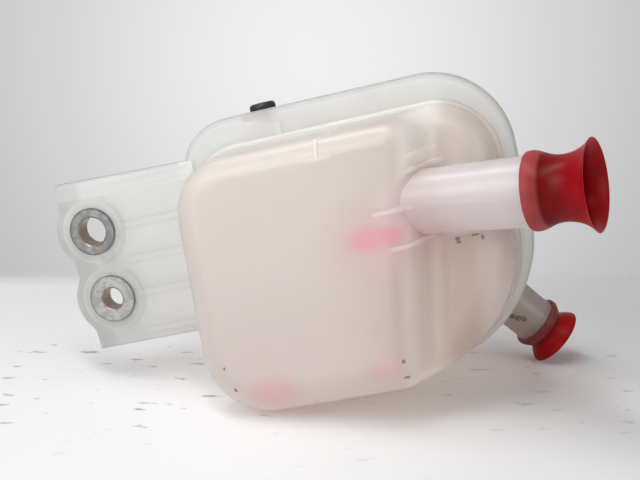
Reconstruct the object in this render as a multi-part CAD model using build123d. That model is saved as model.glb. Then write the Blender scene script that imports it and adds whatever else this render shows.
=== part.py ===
from build123d import *
import os
from math import cos, radians, sin

# Moulded coolant expansion tank, in millimetres and degrees.
# Sketch frame: X across to the right, Y up the tank, Z out of the weld plane towards the front.
# The origin of the sketch frame is the middle of the tank's outline on the weld plane.

# Tank body
TANK_WIDTH = 119.5
TANK_HEIGHT = 95.9
WALL = 2.6
DRAFT = 1.0
CORNER_TOP_LEFT = 21.0
CORNER_TOP_RIGHT = 22.0
CORNER_BOTTOM_RIGHT = 45.0
CORNER_BOTTOM_LEFT = 26.0

# Front half: a deep lobe on the left steps down to a shelf on the right
LOBE_DEPTH = 37.5
SHELF_DEPTH = 21.5
FACE_SLOPE = 11.0
STEP_INSET = 33.0
STEP_WIDTH = 7.0
STEP_LEAN = 9.0
STEP_CREST = 11.0
STEP_HOLLOW = 8.0
FRONT_EDGE = 10.0
RIM_LEDGE = 1.5
RIM_THICKNESS = 2.4
RIM_ROUND = 1.3
VALLEY_ACROSS = 0.0
VALLEY_RADIUS = 9.0
VALLEY_DEPTH = 1.3
ROOT_RIB_WIDTH = 1.6
ROOT_RIB_HEIGHT = 1.0
# Each rib: start and end in from the right wall, height above the large port's axis
ROOT_RIBS = ((28.7, 18.7, 18.4), (31.2, 17.0, 13.5), (42.7, 24.7, 1.2), (40.0, 23.7, -12.0))
# Small tee-shaped rib under the valley, its bar this far below the tank's top
TEE_ACROSS = 0.3
TEE_BELOW = 8.3
TEE_BAR = 9.0
TEE_STEM = 7.2
TEE_WIDTH = 1.2

# Rear half and its weld flange
REAR_DEPTH = 70.0
REAR_EDGE = 14.0
FLANGE_THICKNESS = 2.6
FLANGE_ABOVE = 11.8
FLANGE_RIGHT = 6.4
FLANGE_BELOW = 1.8
FLANGE_LEFT = 3.3
FLANGE_TOP_RIGHT = 31.0
FLANGE_TOP_LEFT = 22.0
FLANGE_BOTTOM_RIGHT = 50.0
LIP_WIDTH = 1.6
LIP_DEPTH = 2.0
SEAM_GAP = 0.2
TAB_ACROSS = -19.8
TAB_REACH = 6.0
TAB_THICKNESS = 1.6

# Side bracket with two bolt bosses
BOLT_REACH = 44.6
BOLT_SPACING = 28.0
BOLT_LEAN = 1.05
UPPER_BOLT_UP = 28.05
BOSS_RADIUS = 15.5
BOSS_RING = 12.4
BOSS_BLEND = 5.5
BRACKET_EDGE_TOP = 12.3
BRACKET_EDGE_BOTTOM = 10.5
BRACKET_ABOVE = 20.6
BRACKET_BELOW = 19.4
BRACKET_FALL = 1.7
BRACKET_FRONT = 3.4
BRACKET_BACK = 4.2
BRACKET_WALL = 2.2
BRACKET_PLATE = 2.4
BEVEL_HEIGHT = 6.5
BEVEL_DEPTH = 1.9
BRACKET_RIB = 1.6
# Heights of the ribs below the upper bolt, as parts of the bolt spacing
BRACKET_RIBS = (-0.55, 0.0, 0.5, 1.0, 1.55)

# Steel bushes
BUSH_FLANGE_RADIUS = 9.5
BUSH_FLANGE = 0.8
BUSH_CHAMFER = 0.5
BUSH_CLEARANCE = 0.05
UPPER_BORE = 11.4
LOWER_BORE = 8.6
UPPER_BUSH_BODY = 15.2
LOWER_BUSH_BODY = 13.2

# Large hose port, on the shelf of the front half
LARGE_INSET = 18.5
LARGE_UP = 15.45
LARGE_OUT = 24.5
LARGE_FORWARD = 11.4
LARGE_DIP = 4.1
LARGE_ROOT_RADIUS = 11.8
LARGE_NECK_RADIUS = 12.5
LARGE_END_RADIUS = 12.8
LARGE_BORE_RADIUS = 9.9
LARGE_LENGTH = 35.9
LARGE_INSIDE = 24.0

# Small hose port, at the bottom right corner of the rear half
SMALL_INSET = 18.3
SMALL_ABOVE = 7.3
SMALL_DIP = 55.7
SMALL_BACKWARD = 17.0
SMALL_BEHIND = 54.8
SMALL_ROOT_RADIUS = 9.6
SMALL_NECK_RADIUS = 9.4
SMALL_END_RADIUS = 9.7
SMALL_BORE_RADIUS = 7.0
SMALL_LENGTH = 20.1
SMALL_INSIDE = 14.0

# Hose stop and bead on both ports
STOP_HEIGHT = 0.3
STOP_WIDTH = 1.6
BEAD_LENGTH = 1.8
BEAD_RAMP = 0.9

# Transport plugs
PLUG_WALL = 1.1
PLUG_CLEARANCE = 0.2
LARGE_SLEEVE = 4.0
LARGE_WAIST_RADIUS = 12.3
LARGE_WAIST_AT = 3.6
LARGE_FLARE_RADIUS = 14.0
LARGE_MOUTH_RADIUS = 16.4
LARGE_MOUTH_AT = 18.9
SMALL_SLEEVE = 3.2
SMALL_WAIST_RADIUS = 9.1
SMALL_WAIST_AT = 3.2
SMALL_FLARE_RADIUS = 10.6
SMALL_MOUTH_RADIUS = 12.4
SMALL_MOUTH_AT = 8.4
MOUTH_ROLL = 2.8

# Rubber buffer on its tab
BUFFER_ACROSS = -27.3
BUFFER_RADIUS = 5.1
BUFFER_HEIGHT = 3.0
BUFFER_STEM_RADIUS = 2.4
BUFFER_BARB_RADIUS = 3.2
BUFFER_BARB = 2.6
SEAT_MARGIN = 2.0
SEAT_THICKNESS = 2.6
SEAT_DROP = 0.7

# The tank stands tipped up by this angle about its bolts
RAKE = 14.0

# Least cosine between a face's normal and a direction for the face to count as looking that way
FACING = 0.3

LEFT = -TANK_WIDTH / 2
RIGHT = TANK_WIDTH / 2
BOTTOM = -TANK_HEIGHT / 2
TOP = TANK_HEIGHT / 2
BOLT_ACROSS = LEFT - BOLT_REACH
UPPER_BOLT = (BOLT_ACROSS, UPPER_BOLT_UP)
LOWER_BOLT = (BOLT_ACROSS + BOLT_LEAN, UPPER_BOLT_UP - BOLT_SPACING)
FLANGE_TOP = TOP + FLANGE_ABOVE


def outline(corners):
    """Face inside the polygon whose corners are (across, up, radius)."""
    points = [(across, up) for across, up, radius in corners]
    radii = [radius for across, up, radius in corners]
    return make_face(FilletPolyline(*points, radius=radii, close=True))


def shell_outline(grow=0.0):
    """Outer wall of both halves on the weld plane, moved outwards by grow."""
    return outline(
        [
            (LEFT - grow, BOTTOM - grow, CORNER_BOTTOM_LEFT + grow),
            (RIGHT + grow, BOTTOM - grow, CORNER_BOTTOM_RIGHT + grow),
            (RIGHT + grow, TOP + grow, CORNER_TOP_RIGHT + grow),
            (LEFT - grow, TOP + grow, CORNER_TOP_LEFT + grow),
        ]
    )


def turned(points):
    """Solid of revolution about Z of a closed (radius, height) polygon."""
    return revolve(Plane.XZ * make_face(Polyline(*points, close=True)), Axis.Z)


def edges_round(part, direction):
    """Edges that bound the faces of a part looking roughly in a direction."""
    looking = [face for face in part.faces() if face.normal_at().dot(direction) > FACING]
    edges = [edge for face in looking for edge in face.edges()]
    return [edge for edge in edges if edges.count(edge) == 1]


def front_volume(inset):
    """Front half as a full volume, its walls moved inwards by inset."""
    reach = TANK_WIDTH + TANK_HEIGHT
    crest = RIGHT - STEP_INSET
    profile = outline(
        [
            (-reach, -reach, 0),
            (reach, -reach, 0),
            (reach, SHELF_DEPTH, 0),
            (crest + STEP_WIDTH, SHELF_DEPTH, STEP_HOLLOW),
            (crest, LOBE_DEPTH, STEP_CREST),
            (-reach, LOBE_DEPTH, 0),
        ]
    )
    under_face = extrude(Plane.XZ * offset(profile, -inset), reach, both=True)
    under_face = Rot(-FACE_SLOPE, 0, 0) * Rot(0, 0, -STEP_LEAN) * under_face
    column = extrude(shell_outline(-inset), LOBE_DEPTH * 2, taper=DRAFT)
    volume = column & under_face
    facing = Vector(0, sin(radians(FACE_SLOPE)), cos(radians(FACE_SLOPE)))
    return fillet(edges_round(volume, facing), FRONT_EDGE - inset)


def rear_volume(inset):
    """Rear half as a full volume behind the weld plane, its walls moved inwards by inset."""
    column = extrude(shell_outline(-inset), REAR_DEPTH - inset, taper=DRAFT)
    column = fillet(edges_round(column, Vector(0, 0, 1)), REAR_EDGE - inset)
    return mirror(column, Plane.XY)


def port_tube(root, neck, end, length, sleeve, inside):
    """Outside of a hose port along Z, with its hose stop and the bead at its end."""
    stop = length - sleeve - STOP_WIDTH
    bead = length - BEAD_LENGTH
    return turned(
        [
            (0, -inside),
            (root, -inside),
            (root, 0),
            (neck, stop),
            (neck + STOP_HEIGHT, stop),
            (neck + STOP_HEIGHT, stop + STOP_WIDTH),
            (neck, stop + STOP_WIDTH),
            (neck, bead - BEAD_RAMP),
            (end, bead),
            (end, length - BEAD_RAMP),
            (end - BEAD_RAMP, length),
            (0, length),
        ]
    )


def port_plug(end, sleeve, waist, waist_at, flare, mouth, mouth_at):
    """Soft plug over a hose port whose end is at height zero: sleeve, floor and flared mouth."""
    socket = end + PLUG_CLEARANCE
    lip = PLUG_CLEARANCE - sleeve
    flare_at = mouth_at - MOUTH_ROLL
    skin = Spline(
        (socket + PLUG_WALL * 0.8, lip),
        (socket + PLUG_WALL, lip / 2),
        (waist, waist_at),
        (flare, flare_at),
        (mouth, mouth_at),
    )
    middle = Polyline((mouth, mouth_at), (0, mouth_at), (0, lip), (socket + PLUG_WALL * 0.8, lip))
    body = revolve(Plane.XZ * make_face(skin + middle), Axis.Z)
    floor = PLUG_CLEARANCE + PLUG_WALL
    lining = Spline(
        (waist - PLUG_WALL, floor),
        (waist - PLUG_WALL, waist_at + PLUG_WALL),
        (flare - PLUG_WALL, flare_at),
        (mouth - PLUG_WALL / 2, mouth_at),
    )
    core = Polyline((mouth - PLUG_WALL / 2, mouth_at), (0, mouth_at), (0, floor), (waist - PLUG_WALL, floor))
    hollow = revolve(Plane.XZ * make_face(lining + core), Axis.Z)
    socket_cut = Pos(0, 0, lip) * extrude(Circle(socket), PLUG_CLEARANCE - lip)
    return body - hollow - socket_cut


def bush(bore, body):
    """Steel bush, its seat on the vehicle at height zero and its flange on the bracket's front."""
    seat_to_boss = BRACKET_BACK + BRACKET_FRONT
    shank = extrude(Circle(body / 2), seat_to_boss)
    flange = Pos(0, 0, seat_to_boss) * extrude(Circle(BUSH_FLANGE_RADIUS), BUSH_FLANGE)
    hole = extrude(Circle(bore / 2), seat_to_boss + BUSH_FLANGE)
    ring = shank + flange - hole
    front_face = ring.faces().sort_by(Axis.Z)[-1]
    mouth = front_face.edges().sort_by(SortBy.RADIUS)[0]
    return chamfer(mouth, BUSH_CHAMFER)


# Axes of the two ports, as planes whose Z runs out of the tank
large_axis = Plane(
    origin=(RIGHT - LARGE_INSET, LARGE_UP, LARGE_OUT),
    z_dir=(
        cos(radians(LARGE_FORWARD)) * cos(radians(LARGE_DIP)),
        -cos(radians(LARGE_FORWARD)) * sin(radians(LARGE_DIP)),
        sin(radians(LARGE_FORWARD)),
    ),
)
small_axis = Plane(
    origin=(RIGHT - SMALL_INSET, BOTTOM + SMALL_ABOVE, -SMALL_BEHIND),
    z_dir=(
        cos(radians(SMALL_BACKWARD)) * cos(radians(SMALL_DIP)),
        -cos(radians(SMALL_BACKWARD)) * sin(radians(SMALL_DIP)),
        -sin(radians(SMALL_BACKWARD)),
    ),
)

# Front half: lobe and shelf, rounded rim, large port, then the short ribs on its face
rim = extrude(shell_outline(RIM_LEDGE), RIM_THICKNESS)
rim = fillet(rim.faces().sort_by(Axis.Z)[-1].edges(), RIM_ROUND)
front_shell = front_volume(0) + rim
large_tube = port_tube(
    LARGE_ROOT_RADIUS, LARGE_NECK_RADIUS, LARGE_END_RADIUS, LARGE_LENGTH, LARGE_SLEEVE, LARGE_INSIDE
)
front_shell += large_axis * large_tube
rib_skin = front_volume(-ROOT_RIB_HEIGHT)
for start, end, above_port in ROOT_RIBS:
    slab = Box(start - end, ROOT_RIB_WIDTH, LOBE_DEPTH * 2)
    middle = Pos(RIGHT - (start + end) / 2, LARGE_UP + above_port, LOBE_DEPTH)
    front_shell += rib_skin & middle * slab
tee_up = TOP - TEE_BELOW
tee_bar = Pos(TEE_ACROSS, tee_up, LOBE_DEPTH) * Box(TEE_BAR, TEE_WIDTH, LOBE_DEPTH * 2)
tee_stem = Pos(TEE_ACROSS, tee_up + TEE_STEM / 2, LOBE_DEPTH) * Box(TEE_WIDTH, TEE_STEM, LOBE_DEPTH * 2)
front_shell += rib_skin & (tee_bar + tee_stem)
valley_up = TOP + VALLEY_RADIUS - VALLEY_DEPTH
valley = Pos(VALLEY_ACROSS, valley_up, RIM_THICKNESS) * extrude(Circle(VALLEY_RADIUS), LOBE_DEPTH * 2)
front_shell -= valley
front_shell -= front_volume(WALL)
large_bore = extrude(Circle(LARGE_BORE_RADIUS), LARGE_INSIDE + LARGE_LENGTH)
front_shell -= large_axis * Pos(0, 0, -LARGE_INSIDE) * large_bore

# Rear half: tub and wide flange with a lip along the flange's edge
flange_outline = outline(
    [
        (LEFT - FLANGE_BELOW, BOTTOM - FLANGE_BELOW, CORNER_BOTTOM_LEFT + FLANGE_BELOW),
        (RIGHT + FLANGE_RIGHT, BOTTOM - FLANGE_BELOW, FLANGE_BOTTOM_RIGHT),
        (RIGHT + FLANGE_RIGHT, FLANGE_TOP, FLANGE_TOP_RIGHT),
        (LEFT - FLANGE_LEFT, FLANGE_TOP, FLANGE_TOP_LEFT),
    ]
)
lip_outline = flange_outline - offset(flange_outline, -LIP_WIDTH)
rear_shell = rear_volume(0) + extrude(flange_outline, -FLANGE_THICKNESS)
rear_shell += extrude(lip_outline, -FLANGE_THICKNESS - LIP_DEPTH)

# Side bracket: a shallow tray open to the rear, with a ring round each bush and ribs to the tank
bracket_top = UPPER_BOLT[1] + BRACKET_ABOVE
bracket_bottom = LOWER_BOLT[1] - BRACKET_BELOW
bracket_right = LEFT + WALL
bracket_corners = [
    Vector(LOWER_BOLT[0] - BRACKET_EDGE_BOTTOM, bracket_bottom),
    Vector(bracket_right, bracket_bottom),
    Vector(bracket_right, bracket_top - BRACKET_FALL),
    Vector(UPPER_BOLT[0] - BRACKET_EDGE_TOP, bracket_top),
]
bosses = [Pos(*bolt) * Circle(BOSS_RADIUS) for bolt in (UPPER_BOLT, LOWER_BOLT)]
bracket_outline = make_face(Polyline(*bracket_corners, close=True)) + bosses
blends = [
    vertex
    for vertex in bracket_outline.vertices()
    if min((Vector(vertex) - corner).length for corner in bracket_corners) > WALL
]
bracket_outline = fillet(blends, BOSS_BLEND)
tray = Pos(0, 0, -BRACKET_BACK) * extrude(bracket_outline, BRACKET_BACK + BRACKET_FRONT)
pocket_depth = BRACKET_BACK + BRACKET_FRONT - BRACKET_PLATE
tray -= Pos(0, 0, -BRACKET_BACK) * extrude(offset(bracket_outline, -BRACKET_WALL), pocket_depth)
for across, up in (UPPER_BOLT, LOWER_BOLT):
    tray += Pos(across, up, -BRACKET_BACK) * extrude(Circle(BOSS_RING), pocket_depth)
rib_length = bracket_right - BOLT_ACROSS
for step in BRACKET_RIBS:
    rib_up = UPPER_BOLT_UP - step * BOLT_SPACING
    rib = Box(rib_length, BRACKET_RIB, pocket_depth, align=(Align.MIN, Align.CENTER, Align.MIN))
    tray += Pos(BOLT_ACROSS, rib_up, -BRACKET_BACK) * rib
top_edge = bracket_corners[2] - bracket_corners[3]
bevel_face = Plane(origin=bracket_corners[3], x_dir=(0, 0, 1), z_dir=top_edge)
bevel = make_face(
    Polyline(
        (BRACKET_FRONT - BEVEL_DEPTH * 1.5, -BEVEL_HEIGHT / 2),
        (BRACKET_FRONT + BEVEL_DEPTH / 2, BEVEL_HEIGHT * 1.5),
        (BRACKET_FRONT + BEVEL_DEPTH / 2, -BEVEL_HEIGHT / 2),
        close=True,
    )
)
tray -= bevel_face * extrude(bevel, top_edge.length + BEVEL_HEIGHT, both=True)
rear_shell += tray

# Gusset on the front of the flange, seat of the buffer behind it, and the small port
rear_shell += Pos(TAB_ACROSS, TOP, 0) * Box(
    TAB_THICKNESS, TAB_REACH, RIM_THICKNESS, align=(Align.CENTER, Align.MIN, Align.MIN)
)
seat_top = FLANGE_TOP - SEAT_DROP
seat_width = 2 * (BUFFER_RADIUS + SEAT_MARGIN)
buffer_behind = FLANGE_THICKNESS + LIP_DEPTH + SEAM_GAP + BUFFER_RADIUS
seat_depth = buffer_behind + BUFFER_RADIUS + SEAT_MARGIN
seat = Box(seat_width, SEAT_THICKNESS, seat_depth, align=(Align.CENTER, Align.MAX, Align.MAX))
rear_shell += Pos(BUFFER_ACROSS, seat_top, 0) * seat
small_tube = port_tube(
    SMALL_ROOT_RADIUS, SMALL_NECK_RADIUS, SMALL_END_RADIUS, SMALL_LENGTH, SMALL_SLEEVE, SMALL_INSIDE
)
rear_shell += small_axis * small_tube

# Clear the front half's rim, the inside of the tank, the bore of the port and the holes
rear_shell -= extrude(shell_outline(RIM_LEDGE + SEAM_GAP), BRACKET_FRONT)
rear_shell -= rear_volume(WALL)
small_bore = extrude(Circle(SMALL_BORE_RADIUS), SMALL_INSIDE + SMALL_LENGTH)
rear_shell -= small_axis * Pos(0, 0, -SMALL_INSIDE) * small_bore
for (across, up), body in ((UPPER_BOLT, UPPER_BUSH_BODY), (LOWER_BOLT, LOWER_BUSH_BODY)):
    hole = extrude(Circle(body / 2 + BUSH_CLEARANCE), BRACKET_BACK + BRACKET_FRONT)
    rear_shell -= Pos(across, up, -BRACKET_BACK) * hole
stem_hole = extrude(Plane.XZ * Circle(BUFFER_STEM_RADIUS + BUSH_CLEARANCE), SEAT_THICKNESS, both=True)
rear_shell -= Pos(BUFFER_ACROSS, seat_top, -buffer_behind) * stem_hole

upper_bush = Pos(*UPPER_BOLT, -BRACKET_BACK) * bush(UPPER_BORE, UPPER_BUSH_BODY)
lower_bush = Pos(*LOWER_BOLT, -BRACKET_BACK) * bush(LOWER_BORE, LOWER_BUSH_BODY)

large_plug = large_axis * Pos(0, 0, LARGE_LENGTH) * port_plug(
    LARGE_END_RADIUS,
    LARGE_SLEEVE,
    LARGE_WAIST_RADIUS,
    LARGE_WAIST_AT,
    LARGE_FLARE_RADIUS,
    LARGE_MOUTH_RADIUS,
    LARGE_MOUTH_AT,
)
small_plug = small_axis * Pos(0, 0, SMALL_LENGTH) * port_plug(
    SMALL_END_RADIUS,
    SMALL_SLEEVE,
    SMALL_WAIST_RADIUS,
    SMALL_WAIST_AT,
    SMALL_FLARE_RADIUS,
    SMALL_MOUTH_RADIUS,
    SMALL_MOUTH_AT,
)

# Buffer: domed head on the seat, stem through it and a barb under it
head = turned([(0, 0), (BUFFER_RADIUS, 0), (BUFFER_RADIUS, BUFFER_HEIGHT), (0, BUFFER_HEIGHT)])
head = fillet(head.faces().sort_by(Axis.Z)[-1].edges(), BUFFER_HEIGHT / 2)
stem = turned(
    [
        (0, 0),
        (BUFFER_STEM_RADIUS, 0),
        (BUFFER_STEM_RADIUS, -SEAT_THICKNESS),
        (BUFFER_BARB_RADIUS, -SEAT_THICKNESS),
        (BUFFER_STEM_RADIUS, -SEAT_THICKNESS - BUFFER_BARB),
        (0, -SEAT_THICKNESS - BUFFER_BARB),
    ]
)
rubber_buffer = Pos(BUFFER_ACROSS, seat_top, -buffer_behind) * Rot(-90, 0, 0) * (head + stem)

# Row frame: origin on the seat of the upper bush, +Y back along the bolts, +Z up, body tipped by the rake
tipped = Plane(
    origin=(0, 0, 0), x_dir=(cos(radians(RAKE)), 0, sin(radians(RAKE))), z_dir=(0, -1, 0)
)
to_bolt = Pos(-UPPER_BOLT[0], -UPPER_BOLT[1], BRACKET_BACK)
pieces = {
    "front_shell": front_shell,
    "rear_shell": rear_shell,
    "upper_bush": upper_bush,
    "lower_bush": lower_bush,
    "large_plug": large_plug,
    "small_plug": small_plug,
    "rubber_buffer": rubber_buffer,
}
os.makedirs("parts", exist_ok=True)
for name, piece in pieces.items():
    export_step(tipped * to_bolt * piece, f"parts/{name}.step")
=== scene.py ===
import bpy
import math
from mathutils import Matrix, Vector


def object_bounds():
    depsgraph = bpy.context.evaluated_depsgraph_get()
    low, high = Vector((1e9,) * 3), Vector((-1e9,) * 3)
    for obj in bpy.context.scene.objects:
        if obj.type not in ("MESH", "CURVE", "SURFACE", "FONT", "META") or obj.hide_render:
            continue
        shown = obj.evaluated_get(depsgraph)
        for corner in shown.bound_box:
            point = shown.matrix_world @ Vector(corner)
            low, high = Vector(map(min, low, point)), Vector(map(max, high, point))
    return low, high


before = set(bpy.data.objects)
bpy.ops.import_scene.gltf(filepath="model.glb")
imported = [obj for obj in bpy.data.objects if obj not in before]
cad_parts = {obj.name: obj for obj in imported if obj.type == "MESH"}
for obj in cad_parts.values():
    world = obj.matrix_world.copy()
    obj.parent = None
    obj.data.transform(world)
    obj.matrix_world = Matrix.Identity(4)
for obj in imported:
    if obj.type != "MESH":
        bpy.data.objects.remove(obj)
cad_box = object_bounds()


# Front half of the tank, moulded in milky natural polypropylene and welded to the rear half.
# It is cream at the top and darker and pinker towards the bottom, with pink dye from old coolant
# at the port's root and along the bottom and a few dark scuffs; painted shade makes it browner to
# the right.
class Wire:
    """One socket of a material; sums and products of it add Math nodes."""

    def __init__(self, tree, socket=None):
        self.tree = tree
        self.socket = socket

    def node(self, kind, settings=(), sockets=(), outlet=0):
        """New node: its settings first, then the values or links of its sockets."""
        made = self.tree.nodes.new(kind)
        for name, value in dict(settings).items():
            setattr(made, name, value)
        for name, value in dict(sockets).items():
            if isinstance(value, Wire):
                self.tree.links.new(value.socket, made.inputs[name])
            else:
                made.inputs[name].default_value = value
        return Wire(self.tree, made.outputs[outlet])

    def maths(self, operation, *values):
        return self.node("ShaderNodeMath", {"operation": operation}, dict(enumerate(values)))

    def vectors(self, operation, *values, outlet=0):
        settings = {"operation": operation}
        return self.node("ShaderNodeVectorMath", settings, dict(enumerate(values)), outlet)

    def __add__(self, other):
        return self.maths("ADD", self, other)

    __radd__ = __add__

    def __sub__(self, other):
        return self.maths("SUBTRACT", self, other)

    def __rsub__(self, other):
        return self.maths("SUBTRACT", other, self)

    def __mul__(self, other):
        return self.maths("MULTIPLY", self, other)

    __rmul__ = __mul__

    def axis(self, index):
        """One of the three numbers of a vector."""
        return self.node("ShaderNodeSeparateXYZ", (), {0: self}, outlet=index)

    def mapped(self, **sockets):
        """A vector moved, turned or scaled."""
        return self.node("ShaderNodeMapping", (), {"Vector": self, **sockets})

    def at_least(self, other):
        return self.maths("MAXIMUM", self, other)

    def size(self):
        return self.maths("ABSOLUTE", self)

    def rise(self, low, high):
        """Rises smoothly from 0 at low to 1 at high."""
        return self.node(
            "ShaderNodeMapRange",
            {"interpolation_type": "SMOOTHSTEP"},
            {"Value": self, "From Min": low, "From Max": high},
        )

    def fall(self, low, high):
        """Falls smoothly from 1 at low to 0 at high."""
        return 1 - self.rise(low, high)

    def band(self, middle, inner, outer):
        """1 within the inner distance of a middle value, 0 beyond the outer one."""
        return (self - middle).size().fall(inner, outer)

    def near(self, place, inner, outer):
        """1 within the inner distance of a place, 0 beyond the outer one."""
        return self.vectors("DISTANCE", self, place, outlet=1).fall(inner, outer)

    def along(self, start, axis):
        """Distance from a start, measured along an axis."""
        from_start = self.vectors("SUBTRACT", self, start)
        return self.vectors("DOT_PRODUCT", from_start, axis, outlet=1)

    def off_axis(self, start, axis):
        """Distance from an axis through a start."""
        from_start = self.vectors("SUBTRACT", self, start)
        away = self.vectors("CROSS_PRODUCT", from_start, axis)
        return self.vectors("LENGTH", away, outlet=1)

    def noise(self, scale, detail, outlet=0):
        """Cloudy pattern: a value at its first outlet, a colour at its second."""
        sockets = {"Vector": self, "Scale": scale, "Detail": detail}
        return self.node("ShaderNodeTexNoise", (), sockets, outlet)

    def tinted(self, amount, colour):
        """This colour, changed into another one by an amount."""
        return self.node(
            "ShaderNodeMix",
            {"data_type": "RGBA"},
            {"Factor": amount, 6: self, 7: (*colour, 1)},
            outlet=2,
        )

    def colour(self, red, green, blue):
        made = self.node("ShaderNodeRGB")
        made.socket.default_value = (red, green, blue, 1)
        return made

    def feed(self, shader, socket):
        self.tree.links.new(self.socket, shader.inputs[socket])

    def emboss(self, shader, strength, distance):
        """This height as a bump on the shader."""
        sockets = {"Height": self, "Strength": strength, "Distance": distance}
        self.node("ShaderNodeBump", (), sockets).feed(shader, "Normal")


def new_finish(name, **constants):
    """Material with constant shader values; returns it, its shader and its Object coordinates."""
    finish = bpy.data.materials.new(name)
    finish.use_nodes = True
    shader = finish.node_tree.nodes["Principled BSDF"]
    for socket, value in constants.items():
        shader.inputs[socket.replace("_", " ")].default_value = value
    place = Wire(finish.node_tree).node("ShaderNodeTexCoord", outlet="Object")
    return finish, shader, place


def clothe(name, finish):
    """Gives a CAD node its one material."""
    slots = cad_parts[name].data.materials
    slots.clear()
    slots.append(finish)


def lets_light_through(finish, shader, share):
    """Lamps shine through the finish by a share of each colour, so its shadow is pale."""
    tree = finish.node_tree
    lamp = Wire(tree).node("ShaderNodeLightPath", outlet="Is Shadow Ray")
    passed = Wire(tree).node("ShaderNodeBsdfTransparent", (), {"Color": (*share, 1)})
    body = Wire(tree, shader.outputs[0])
    mixed = body.node("ShaderNodeMixShader", (), {0: lamp, 1: body, 2: passed})
    mixed.feed(tree.nodes["Material Output"], "Surface")


tank_tip = math.radians(14)


def natural_plastic(name, clearness):
    """Milky plastic with moulded skin; also returns the place turned square to the tipped tank."""
    finish, shader, place = new_finish(
        name,
        IOR=1.49,
        Transmission_Weight=clearness,
        Subsurface_Weight=0.9,
        Subsurface_Radius=(1.0, 0.88, 0.8),
        Subsurface_Scale=0.02,
        Coat_Weight=0.35,
        Coat_Roughness=0.26,
    )
    square = place.mapped(Rotation=(0, tank_tip, 0))
    cloud = place.noise(scale=38, detail=4)
    roughness = 0.40 + cloud * 0.16
    roughness.feed(shader, "Roughness")
    skin = place.noise(scale=120, detail=1) + place.noise(scale=900, detail=2) * 0.25
    skin.emboss(shader, strength=0.12, distance=0.0005)
    lets_light_through(finish, shader, share=(0.69, 0.66, 0.64))
    return finish, shader, place, square, cloud


cream = (0.78, 0.71, 0.645)
rose = (0.69, 0.585, 0.555)
shelf_shade_brown = (0.50, 0.395, 0.34)
hollow_light_rose = (0.90, 0.79, 0.715)
hollow_light_cream = (0.97, 0.91, 0.85)
cloud_tan = (0.74, 0.65, 0.58)
valley_light_rose = (0.86, 0.775, 0.745)
root_shade_mauve = (0.62, 0.525, 0.515)
tube_white = (0.75, 0.68, 0.67)
halo_pink = (0.78, 0.52, 0.53)
dye_pink = (0.92, 0.33, 0.43)
low_dye_pink = (0.78, 0.42, 0.44)
ridge_highlight_white = (0.93, 0.89, 0.86)
rim_highlight_white = (0.97, 0.96, 0.90)
scuff_black = (0.06, 0.05, 0.04)
step_foot = 0.1377
step_lean = 0.156
large_port = (0.178991, -0.035796, 0.029049)
large_axis = (0.965674, -0.197657, 0.168537)
large_tube_radius = 0.0132
valley_place = (0.1310, 0, -0.0118)

front, shader, place, square, cloud = natural_plastic("front_polypropylene", clearness=0.30)
across = square.axis(0)
up = square.axis(2)
colour = place.colour(*cream)
# Darker and pinker towards the bottom.
colour = colour.tinted(up.fall(-0.055, 0.005) * 0.9, rose)
from_step = across - up * step_lean - step_foot
high = up.rise(-0.030, 0.004)
# Painted shade: browner to the right, away from the light on the left, less so higher up.
shaded_right = across.rise(0.092, 0.148) * (1 - from_step.rise(0.016, 0.026) * 0.95)
colour = colour.tinted(shaded_right * (0.95 - high * 0.55), shelf_shade_brown)
# Painted light: the hollow of the step is lightened against its shade, creamier higher up.
hollow_light = from_step.band(0.001, 0.001, 0.0105)
colour = colour.tinted(hollow_light * (1 - high) * 0.70, hollow_light_rose)
colour = colour.tinted(hollow_light * high, hollow_light_cream)
colour = colour.tinted(cloud.rise(0.45, 0.75) * 0.2, cloud_tan)
flat = square.mapped(Scale=(1, 0, 1))
# Painted light: the face near the tube's root is lightened, so the root's shading fades.
valley_light = flat.near(valley_place, 0.005, 0.013)
colour = colour.tinted(valley_light * 0.6, valley_light_rose)
tube = place.off_axis(large_port, large_axis).fall(large_tube_radius, large_tube_radius + 0.0018)
along = place.along(large_port, large_axis)
# Painted shade: the tube's root is darkened, so its lit end fades into the wall.
colour = colour.tinted(tube * along.rise(-0.054, -0.046) * 0.7, root_shade_mauve)
colour = colour.tinted(tube * along.rise(-0.042, -0.033), tube_white)

dye_flatness = 1.7
wide = square.mapped(Scale=(1, 0, dye_flatness))
halo = wide.near((0.124, 0, -0.0335), 0.004, 0.038)
colour = colour.tinted(halo * 0.75, halo_pink)
left_dye = wide.near((0.1175, 0, -0.0335), 0.003, 0.0115)
right_dye = wide.near((0.1245, 0, -0.0335), 0.002, 0.0090)
colour = colour.tinted(left_dye.at_least(right_dye) * 0.8, dye_pink)
low_left_dye = wide.near((0.0725, 0, -0.1133), 0.003, 0.015)
low_right_dye = wide.near((0.1147, 0, -0.1095), 0.002, 0.011)
colour = colour.tinted((low_left_dye + low_right_dye * 0.7) * 0.7, low_dye_pink)

ridge_half = 0.0004
ridge_foot = 0.0009
ridge_run_out = 0.001
stem_across = 0.10465
# Painted highlights: light lines along the tops of the moulded ribs round the port's root, and a
# short upright one.
for start, end, height in (
    (0.1375, 0.1425, 0.0058),
    (0.1355, 0.1450, 0.0009),
    (0.1213, 0.1350, -0.0115),
    (0.1260, 0.1380, -0.0246),
    (0.1001, 0.1092, 0.0115),
):
    ridge_highlight = up.band(height, ridge_half, ridge_foot)
    ridge_highlight *= across.rise(start - ridge_run_out, start) * across.fall(end, end + ridge_run_out)
    colour = colour.tinted(ridge_highlight * 0.4, ridge_highlight_white)
stem_highlight = across.band(stem_across, ridge_half, ridge_foot) * up.rise(0.0110, 0.0116)
colour = colour.tinted(stem_highlight * 0.6, ridge_highlight_white)
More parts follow.
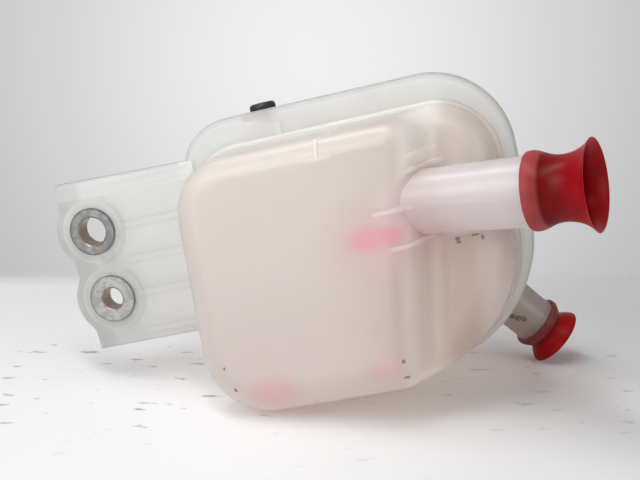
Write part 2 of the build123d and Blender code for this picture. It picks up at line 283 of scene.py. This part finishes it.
# Painted highlight: a bright line along the top of the rim where it meets the flange.
rim_highlight = up.rise(0.0178, 0.0190) * place.axis(1).rise(-0.0105, -0.0080)
rim_highlight *= across.rise(0.050, 0.060) * across.fall(0.130, 0.150)
colour = colour.tinted(rim_highlight * 0.9, rim_highlight_white)

wobble_size = 0.0012
wobble = place.noise(scale=1100, detail=2, outlet=1)
ragged = place.vectors("MULTIPLY_ADD", wobble, (wobble_size,) * 3, flat)
for scuff_across, scuff_up, width, height in (
    (0.0553, -0.0550, 0.0007, 0.0007),
    (0.0579, -0.0634, 0.0009, 0.0008),
    (0.1218, -0.0633, 0.0009, 0.0009),
    (0.1217, -0.0695, 0.0016, 0.0006),
    (0.1462, -0.0279, 0.0012, 0.0009),
    (0.1464, -0.0291, 0.0013, 0.0006),
    (0.1528, -0.0276, 0.0018, 0.0005),
    (0.1552, -0.0288, 0.0006, 0.0014),
):
    centre_across = scuff_across + wobble_size / 2
    centre_up = scuff_up + wobble_size / 2
    around = ragged.mapped(
        Location=(-centre_across / width, 0, -centre_up / height),
        Scale=(1 / width, 0, 1 / height),
    )
    colour = colour.tinted(around.near((0, 0, 0), 0.55, 1.0) * 0.8, scuff_black)
colour.feed(shader, "Base Color")
clothe("front_shell", front)


# Rear half of the tank, with the weld flange and the bracket, moulded in the same plastic.
# Flange and bracket have never held coolant, so they stay pale, cool and clearer than the tub.
# The flange's edge and the bracket's outline carry painted shade, and the flange, ribs and tab
# painted highlights; the bracket has ribs and two bosses for the bolts.
flange_white = (0.92, 0.92, 0.885)
low_shade_grey = (0.72, 0.71, 0.675)
tub_cream = (0.76, 0.69, 0.62)
tub_rose = (0.66, 0.565, 0.525)
stain_tan = (0.66, 0.56, 0.49)
cloud_grey = (0.74, 0.74, 0.69)
lip_shade_grey = (0.60, 0.61, 0.58)
edge_shade_grey = (0.38, 0.39, 0.37)
glint_white = (0.95, 0.95, 0.90)
rib_shade_grey = (0.52, 0.53, 0.51)
rib_highlight_white = (0.93, 0.93, 0.90)
outline_shade_grey = (0.42, 0.43, 0.41)
bevel_shade_grey = (0.68, 0.69, 0.66)
boss_ring_shade_grey = (0.50, 0.51, 0.50)
small_tube_shade_brown = (0.46, 0.385, 0.345)
dirt_brown = (0.07, 0.05, 0.03)

rear, shader, place, square, cloud = natural_plastic("rear_polypropylene", clearness=0.48)
across = square.axis(0)
behind = place.axis(1)
up = square.axis(2)
colour = place.colour(*flange_white)
# Painted shade: greyer towards the bottom, away from the light above.
colour = colour.tinted(place.axis(2).fall(-0.055, 0.03) * 0.8, low_shade_grey)
tub = behind.rise(-0.0005, 0.005)
before_tub = 1 - tub
colour = colour.tinted(tub, tub_cream)
colour = colour.tinted(tub * up.fall(-0.065, 0.005), tub_rose)
stained = place.noise(scale=17, detail=3).rise(0.42, 0.68)
colour = colour.tinted(tub * stained * 0.35, stain_tan)
colour = colour.tinted(cloud.rise(0.45, 0.75) * 0.2, cloud_grey)

flange_middle_across = 0.1059
flange_middle_up = -0.02305
flange_half_width = 0.0646
flange_half_height = 0.05475
lower_left_radius = 0.0278
lower_right_radius = 0.0500
upper_left_radius = 0.0220
upper_right_radius = 0.0310
from_middle = across - flange_middle_across
above_middle = up - flange_middle_up
right = from_middle.rise(-0.001, 0.001)
top = above_middle.rise(-0.001, 0.001)
corner = (
    lower_left_radius
    + right * (1 - top) * (lower_right_radius - lower_left_radius)
    + top * (1 - right) * (upper_left_radius - lower_left_radius)
    + top * right * (upper_right_radius - lower_left_radius)
)
past_corner = (from_middle.size() - flange_half_width + corner).at_least(0)
over_corner = (above_middle.size() - flange_half_height + corner).at_least(0)
squares = past_corner * past_corner + over_corner * over_corner
from_edge = squares.maths("SQRT", squares) - corner
at_bracket = across.fall(0.046, 0.050) * up.fall(0.0185, 0.0195) * up.rise(-0.0490, -0.0474)
flange = before_tub * from_edge.fall(0.0002, 0.0004) * (1 - at_bracket)
# Painted shade and highlight at the flange's edge: a grey lip band, a dark outer line and a bright
# inner line.
colour = colour.tinted(flange * from_edge.rise(-0.0021, -0.0017) * 0.3, lip_shade_grey)
colour = colour.tinted(flange * from_edge.rise(-0.0009, -0.0004) * 0.6, edge_shade_grey)
glint = from_edge.band(-0.0023, 0.0002, 0.0005)
colour = colour.tinted(flange * glint * 0.6, glint_white)

between_ends = across.rise(0.010, 0.014) * across.fall(0.0440, 0.0452) * before_tub
# Painted light and shade of the ribs behind the bracket: a light line on each crest, darker lines
# beside it.
for rib_up in (0.0154, 0, -0.014, -0.028, -0.0434):
    crest = up.band(rib_up, 0.0004, 0.0010)
    lower_foot = up.band(rib_up - 0.0016, 0.0003, 0.0010)
    upper_foot = up.band(rib_up + 0.0015, 0.0002, 0.0007)
    feet = lower_foot.at_least(upper_foot)
    colour = colour.tinted(between_ends * feet * 0.22, rib_shade_grey)
    colour = colour.tinted(between_ends * crest * 0.35, rib_highlight_white)

upper_bolt = (0, 0, 0)
lower_bolt = (0.007793, 0, -0.026914)
bolt_axis = (0, 1, 0)
boss_inner = 0.0147
boss_outer = 0.0152
boss_ring_radius = 0.0134
upper_boss = place.near(upper_bolt, boss_inner, boss_outer)
lower_boss = place.near(lower_bolt, boss_inner, boss_outer)
# Painted shade: a dark band along the bracket's scalloped left edge.
rim = (1 - upper_boss.at_least(lower_boss)) * across.fall(-0.004, 0.0)
colour = colour.tinted(rim * 0.5, outline_shade_grey)
bracket = across.fall(0.040, 0.043) * before_tub
bracket_top = 0.0203
bracket_slope = 0.0286
from_top = up + across * bracket_slope - bracket_top
# Painted shade: the bevel along the bracket's top is dulled where it faces the light above.
colour = colour.tinted(bracket * from_top.rise(-0.0068, -0.0062) * 0.5, bevel_shade_grey)
# Painted shade along the bracket's top and bottom edges.
ends = from_top.rise(-0.0010, -0.0004).at_least(up.fall(-0.0471, -0.0465))
colour = colour.tinted(ends * bracket * 0.5, outline_shade_grey)
# Painted shade: a dark arc round the right side of each boss.
for bolt in (upper_bolt, lower_bolt):
    ring = place.off_axis(bolt, bolt_axis).band(boss_ring_radius, 0.0003, 0.0010)
    beyond = (place.axis(0) - bolt[0]).rise(0.003, 0.008)
    colour = colour.tinted(ring * beyond * bracket * 0.3, boss_ring_shade_grey)

tab_across = 0.08455
# Painted highlight on the tab in front of the flange.
tab_highlight = across.band(tab_across, 0.0009, 0.0012) * behind.fall(-0.0048, -0.0044)
colour = colour.tinted(tab_highlight * up.rise(0.010, 0.020) * 0.8, glint_white)
small_port = (0.172441, 0.056477, -0.044174)
small_axis = (0.714014, 0.292372, -0.636163)
small_tube_radius = 0.0098
# Painted shade: the small port's tube is darkened brown, as it stands in shade on the right.
tube = place.off_axis(small_port, small_axis).fall(small_tube_radius, small_tube_radius + 0.0014)
tube *= place.along(small_port, small_axis).rise(-0.024, -0.016)
colour = colour.tinted(tube * 0.85, small_tube_shade_brown)
crumbly = place.noise(scale=700, detail=3).rise(0.36, 0.47)
for dirt in ((0.1619, 0.0431, -0.0378), (0.1643, 0.0437, -0.0385), (0.1666, 0.0443, -0.0387)):
    colour = colour.tinted(place.near(dirt, 0.0009, 0.0018) * crumbly * 0.85, dirt_brown)
colour.feed(shader, "Base Color")
clothe("rear_shell", rear)


# Steel compression bushes, turned and zinc plated, pressed into the bosses of the bracket.
# The lathe's rings show on the flange, the plating has dulled and the bore is browned.
bore_brown = (0.42, 0.30, 0.23)
bush_edge_inner = 0.0087
bush_edge_outer = 0.0092


def turned_steel(name, bolt, tone, bore_radius):
    """Plated steel of one grey tone, turned about a bolt."""
    steel, shader, place = new_finish(name, Metallic=1.0)
    centred = place.mapped(Location=[-c for c in bolt])
    rings = centred.node(
        "ShaderNodeTexWave",
        {"wave_type": "RINGS", "rings_direction": "Y"},
        {"Vector": centred, "Scale": 900, "Distortion": 1.2, "Detail": 2},
        outlet=1,
    )
    dull = place.noise(scale=1400, detail=3)
    rubbed = place.noise(scale=380, detail=3).rise(0.46, 0.60)
    radius = place.off_axis(bolt, bolt_axis)
    edge = radius.rise(bush_edge_inner, bush_edge_outer)
    bore = radius.fall(bore_radius + 0.0001, bore_radius + 0.0004)
    colour = place.colour(tone, tone, tone * 0.97)
    colour = colour.tinted(dull.rise(0.40, 0.70) * 0.5, (tone * 0.7, tone * 0.7, tone * 0.66))
    colour = colour.tinted(rubbed * 0.45, (tone * 1.5, tone * 1.5, tone * 1.45))
    colour = colour.tinted(edge * 0.7, (tone * 0.4, tone * 0.4, tone * 0.4))
    colour = colour.tinted(bore * 0.8, bore_brown)
    colour.feed(shader, "Base Color")
    roughness = 0.30 + dull * 0.2 + rings * 0.06 - rubbed * 0.12
    roughness.feed(shader, "Roughness")
    rings.emboss(shader, strength=0.2, distance=0.0001)
    return steel


upper_steel = turned_steel("upper_bush_steel", upper_bolt, tone=0.24, bore_radius=0.0057)
clothe("upper_bush", upper_steel)
lower_steel = turned_steel("lower_bush_steel", lower_bolt, tone=0.35, bore_radius=0.0043)
clothe("lower_bush", lower_steel)


# Rubber buffer, moulded black, pushed through its seat behind the top edge.
# It is dusty on top and a little worn at the rim.
rubber_black = (0.008, 0.009, 0.011)
dust_grey = (0.04, 0.04, 0.04)
rubber, shader, place = new_finish("buffer_rubber")
dust = place.noise(scale=700, detail=4)
colour = place.colour(*rubber_black)
colour = colour.tinted(dust.rise(0.5, 0.8) * 0.5, dust_grey)
colour.feed(shader, "Base Color")
roughness = 0.36 + dust * 0.25
roughness.feed(shader, "Roughness")
dust.emboss(shader, strength=0.2, distance=0.0002)
clothe("rubber_buffer", rubber)


# Soft red polyethylene plugs, pushed over the two hose ports for transport.
# The thin sleeve lets the pale port shine through, helped by painted sheen; the mouth is deep red
# inside.
waist_red = (0.175, 0.001, 0.002)
mouth_glow_red = (0.31, 0.0005, 0.003)
cloud_red = (0.14, 0.001, 0.002)
crease_shade_red = (0.10, 0.002, 0.003)


def plug_plastic(name, port_end, port_axis, crease, sleeve_radius, painted_glow_span, sleeve_tint_and_sheen):
    """Red plastic, paler on the sleeve before the crease, with painted shade in the crease and
    painted light towards the mouth.
    """
    red, shader, place = new_finish(
        name,
        IOR=1.5,
        Transmission_Weight=0.05,
        Subsurface_Weight=0.4,
        Subsurface_Radius=(1.0, 0.12, 0.1),
        Subsurface_Scale=0.003,
        Specular_IOR_Level=0.11,
    )
    cloud = place.noise(scale=150, detail=3)
    along = place.along(port_end, port_axis)
    sleeve = along.fall(crease - 0.0005, crease + 0.0005)
    sleeve *= place.off_axis(port_end, port_axis).rise(sleeve_radius - 0.001, sleeve_radius)
    # Painted shade: a dark line in the crease behind the sleeve.
    crease_shade = along.band(crease, 0.0002, 0.0010)
    colour = place.colour(*waist_red)
    # Painted light: the red brightens towards the mouth, as if lit through the thin flare.
    colour = colour.tinted(along.rise(*painted_glow_span), mouth_glow_red)
    colour = colour.tinted(cloud.rise(0.4, 0.75) * 0.3, cloud_red)
    # Partly the pale port seen through the thin sleeve, partly painted sheen in cloudy patches.
    colour = colour.tinted(sleeve * (0.25 + cloud), sleeve_tint_and_sheen)
    colour = colour.tinted(crease_shade * 0.5, crease_shade_red)
    colour.feed(shader, "Base Color")
    roughness = 0.29 + cloud * 0.12
    roughness.feed(shader, "Roughness")
    place.noise(scale=300, detail=2).emboss(shader, strength=0.12, distance=0.0004)
    lets_light_through(red, shader, share=(0.4, 0.1, 0.1))
    return red


large_red = plug_plastic(
    "large_plug_polyethylene",
    large_port,
    large_axis,
    crease=0.0021,
    sleeve_radius=0.0128,
    painted_glow_span=(0.005, 0.017),
    sleeve_tint_and_sheen=(0.40, 0.070, 0.072),
)
clothe("large_plug", large_red)
small_red = plug_plastic(
    "small_plug_polyethylene",
    small_port,
    small_axis,
    crease=0.0012,
    sleeve_radius=0.0096,
    painted_glow_span=(-0.001, 0.004),
    sleeve_tint_and_sheen=(0.22, 0.055, 0.055),
)
clothe("small_plug", small_red)


# White laminate table under the tank, square to the camera and marked by short dark streaks.
# It turns grey to the right as painted shade, and fades out at its far edge and all round.
aim = Vector((0.09231, -0.0042, 0.00055))
camera_turn = math.radians(13.9)
floor_height = cad_box[0][2]
table_depth = 1.7
table_far_edge = 0.205
table_white = (0.92, 0.92, 0.925)
table_shade_grey = (0.70, 0.70, 0.705)
streak_grey = (0.30, 0.29, 0.28)


def stage_plane(name, width, depth, lean, behind):
    """Plane square to the camera, some way behind the aim, with its place in its mesh."""
    bpy.ops.mesh.primitive_plane_add(size=1, location=(0, 0, 0))
    plane = bpy.context.object
    plane.name = name
    plane.scale = (width, depth, 1)
    plane.rotation_euler = (lean, 0, 0)
    bpy.ops.object.transform_apply(scale=True, rotation=True)
    plane.location = (0, behind, 0)
    bpy.ops.object.transform_apply(location=True)
    plane.rotation_euler = (0, 0, camera_turn)
    plane.location = (aim.x, aim.y, floor_height)
    bpy.ops.object.transform_apply(location=True, rotation=True)
    return plane


bpy.ops.object.select_all(action="DESELECT")
table = stage_plane("table", 3.0, table_depth, lean=0, behind=table_far_edge - table_depth / 2)
laminate, shader, place = new_finish("table_laminate", Roughness=0.5)
squared = place.mapped(Location=(-aim.x, -aim.y, 0)).mapped(Rotation=(0, 0, -camera_turn))
rightward = squared.axis(0)
backward = squared.axis(1)
streaks = squared.mapped(Scale=(1, 2.2, 1)).noise(scale=85, detail=4).rise(0.63, 0.69)
streaks *= squared.noise(scale=9, detail=2).rise(0.42, 0.62) * backward.fall(0.055, 0.085)
colour = place.colour(*table_white)
# Painted shade: greyer to the right, away from the key light.
colour = colour.tinted(rightward.rise(-0.05, 0.28), table_shade_grey)
colour = colour.tinted(streaks * 0.7, streak_grey)
colour.feed(shader, "Base Color")
opaque = backward.fall(0.165, 0.204) * squared.near((0, 0, floor_height), 0.50, 0.82)
opaque.feed(shader, "Alpha")
table.data.materials.append(laminate)


# Pale paper backdrop, hung upright behind the table and square to the camera.
# It is seen with a painted pool of light behind the tank and painted shade towards its edges, and
# lights the tank as plain paper does.
paper_shade_grey = (0.50, 0.50, 0.51)
paper_light_pool = (0.87, 0.87, 0.88)
paper_lit = (0.75, 0.75, 0.76)
light_pool_radius = 0.55


def seen_apart(tree, lit, seen, output):
    """Shows one thing to the camera, in gloss and through plastic, and lights with another."""
    path = Wire(tree).node("ShaderNodeLightPath", outlet="Is Camera Ray")
    looked_at = path
    for outlet in ("Is Glossy Ray", "Is Transmission Ray"):
        looked_at = looked_at.at_least(Wire(tree, path.socket.node.outputs[outlet]))
    body = Wire(tree, lit.outputs[0])
    mixed = path.node("ShaderNodeMixShader", (), {0: looked_at, 1: body, 2: seen})
    mixed.feed(tree.nodes[output], "Surface")


backdrop = stage_plane("backdrop", 4.0, 2.5, lean=math.radians(90), behind=1.1)
paper, shader, place = new_finish("backdrop_paper", Base_Color=(*paper_lit, 1), Roughness=0.9)
# Painted light: brighter behind the tank, fading to painted shade at the edges.
light_pool = place.near((aim.x - 0.2755, aim.y + 1.065, -0.018), 0.0, light_pool_radius)
seen_colour = place.colour(*paper_shade_grey).tinted(light_pool, paper_light_pool)
seen = place.node("ShaderNodeEmission", (), {"Color": seen_colour})
seen_apart(paper.node_tree, shader, seen, "Material Output")
backdrop.data.materials.append(paper)


# Studio light: a large soft key from the upper left, a long strip overhead, a weak lamp low in
# front and a fill from the right, in a room of even pale light.
world = bpy.data.worlds.new("studio")
bpy.context.scene.world = world
world.use_nodes = True
sky = world.node_tree
room = sky.nodes["Background"]
room.inputs["Color"].default_value = (0.80, 0.81, 0.83, 1)
room.inputs["Strength"].default_value = 0.24
seen = Wire(sky).node("ShaderNodeBackground", (), {"Color": (*paper_shade_grey, 1), "Strength": 1})
seen_apart(sky, room, seen, "World Output")


def softbox(name, offset, watts, width, height):
    """Area lamp at an offset from the aim, which it faces."""
    bpy.ops.object.light_add(type="AREA", location=aim + Vector(offset))
    lamp = bpy.context.object
    lamp.name = name
    lamp.data.shape = "RECTANGLE"
    lamp.data.energy = watts
    lamp.data.size = width
    lamp.data.size_y = height
    lamp.rotation_euler = (-Vector(offset)).to_track_quat("-Z", "Y").to_euler()


softbox("key", (-0.50, -0.72, 0.56), watts=4.6, width=0.55, height=0.55)
softbox("overhead", (-0.16, -0.14, 0.72), watts=3.5, width=0.9, height=0.12)
softbox("low_front", (-0.30, -0.80, 0.08), watts=0.75, width=0.5, height=0.15)
softbox("fill", (0.75, -0.40, 0.28), watts=1.55, width=0.5, height=0.5)


# Camera a little above the tank and to its right, where the photograph was taken from,
# with a long lens and no shift.
camera_height = math.radians(12.0)
camera_distance = 0.533
toward = Vector((
    math.sin(camera_turn) * math.cos(camera_height),
    -math.cos(camera_turn) * math.cos(camera_height),
    math.sin(camera_height),
))
bpy.ops.object.camera_add(location=aim + camera_distance * toward)
camera = bpy.context.object
camera.rotation_euler = (-toward).to_track_quat("-Z", "Y").to_euler()
camera.data.sensor_width = 36
camera.data.lens = 77.96
camera.data.clip_start = 0.01
bpy.context.scene.camera = camera
bpy.context.scene.view_settings.view_transform = "Standard"
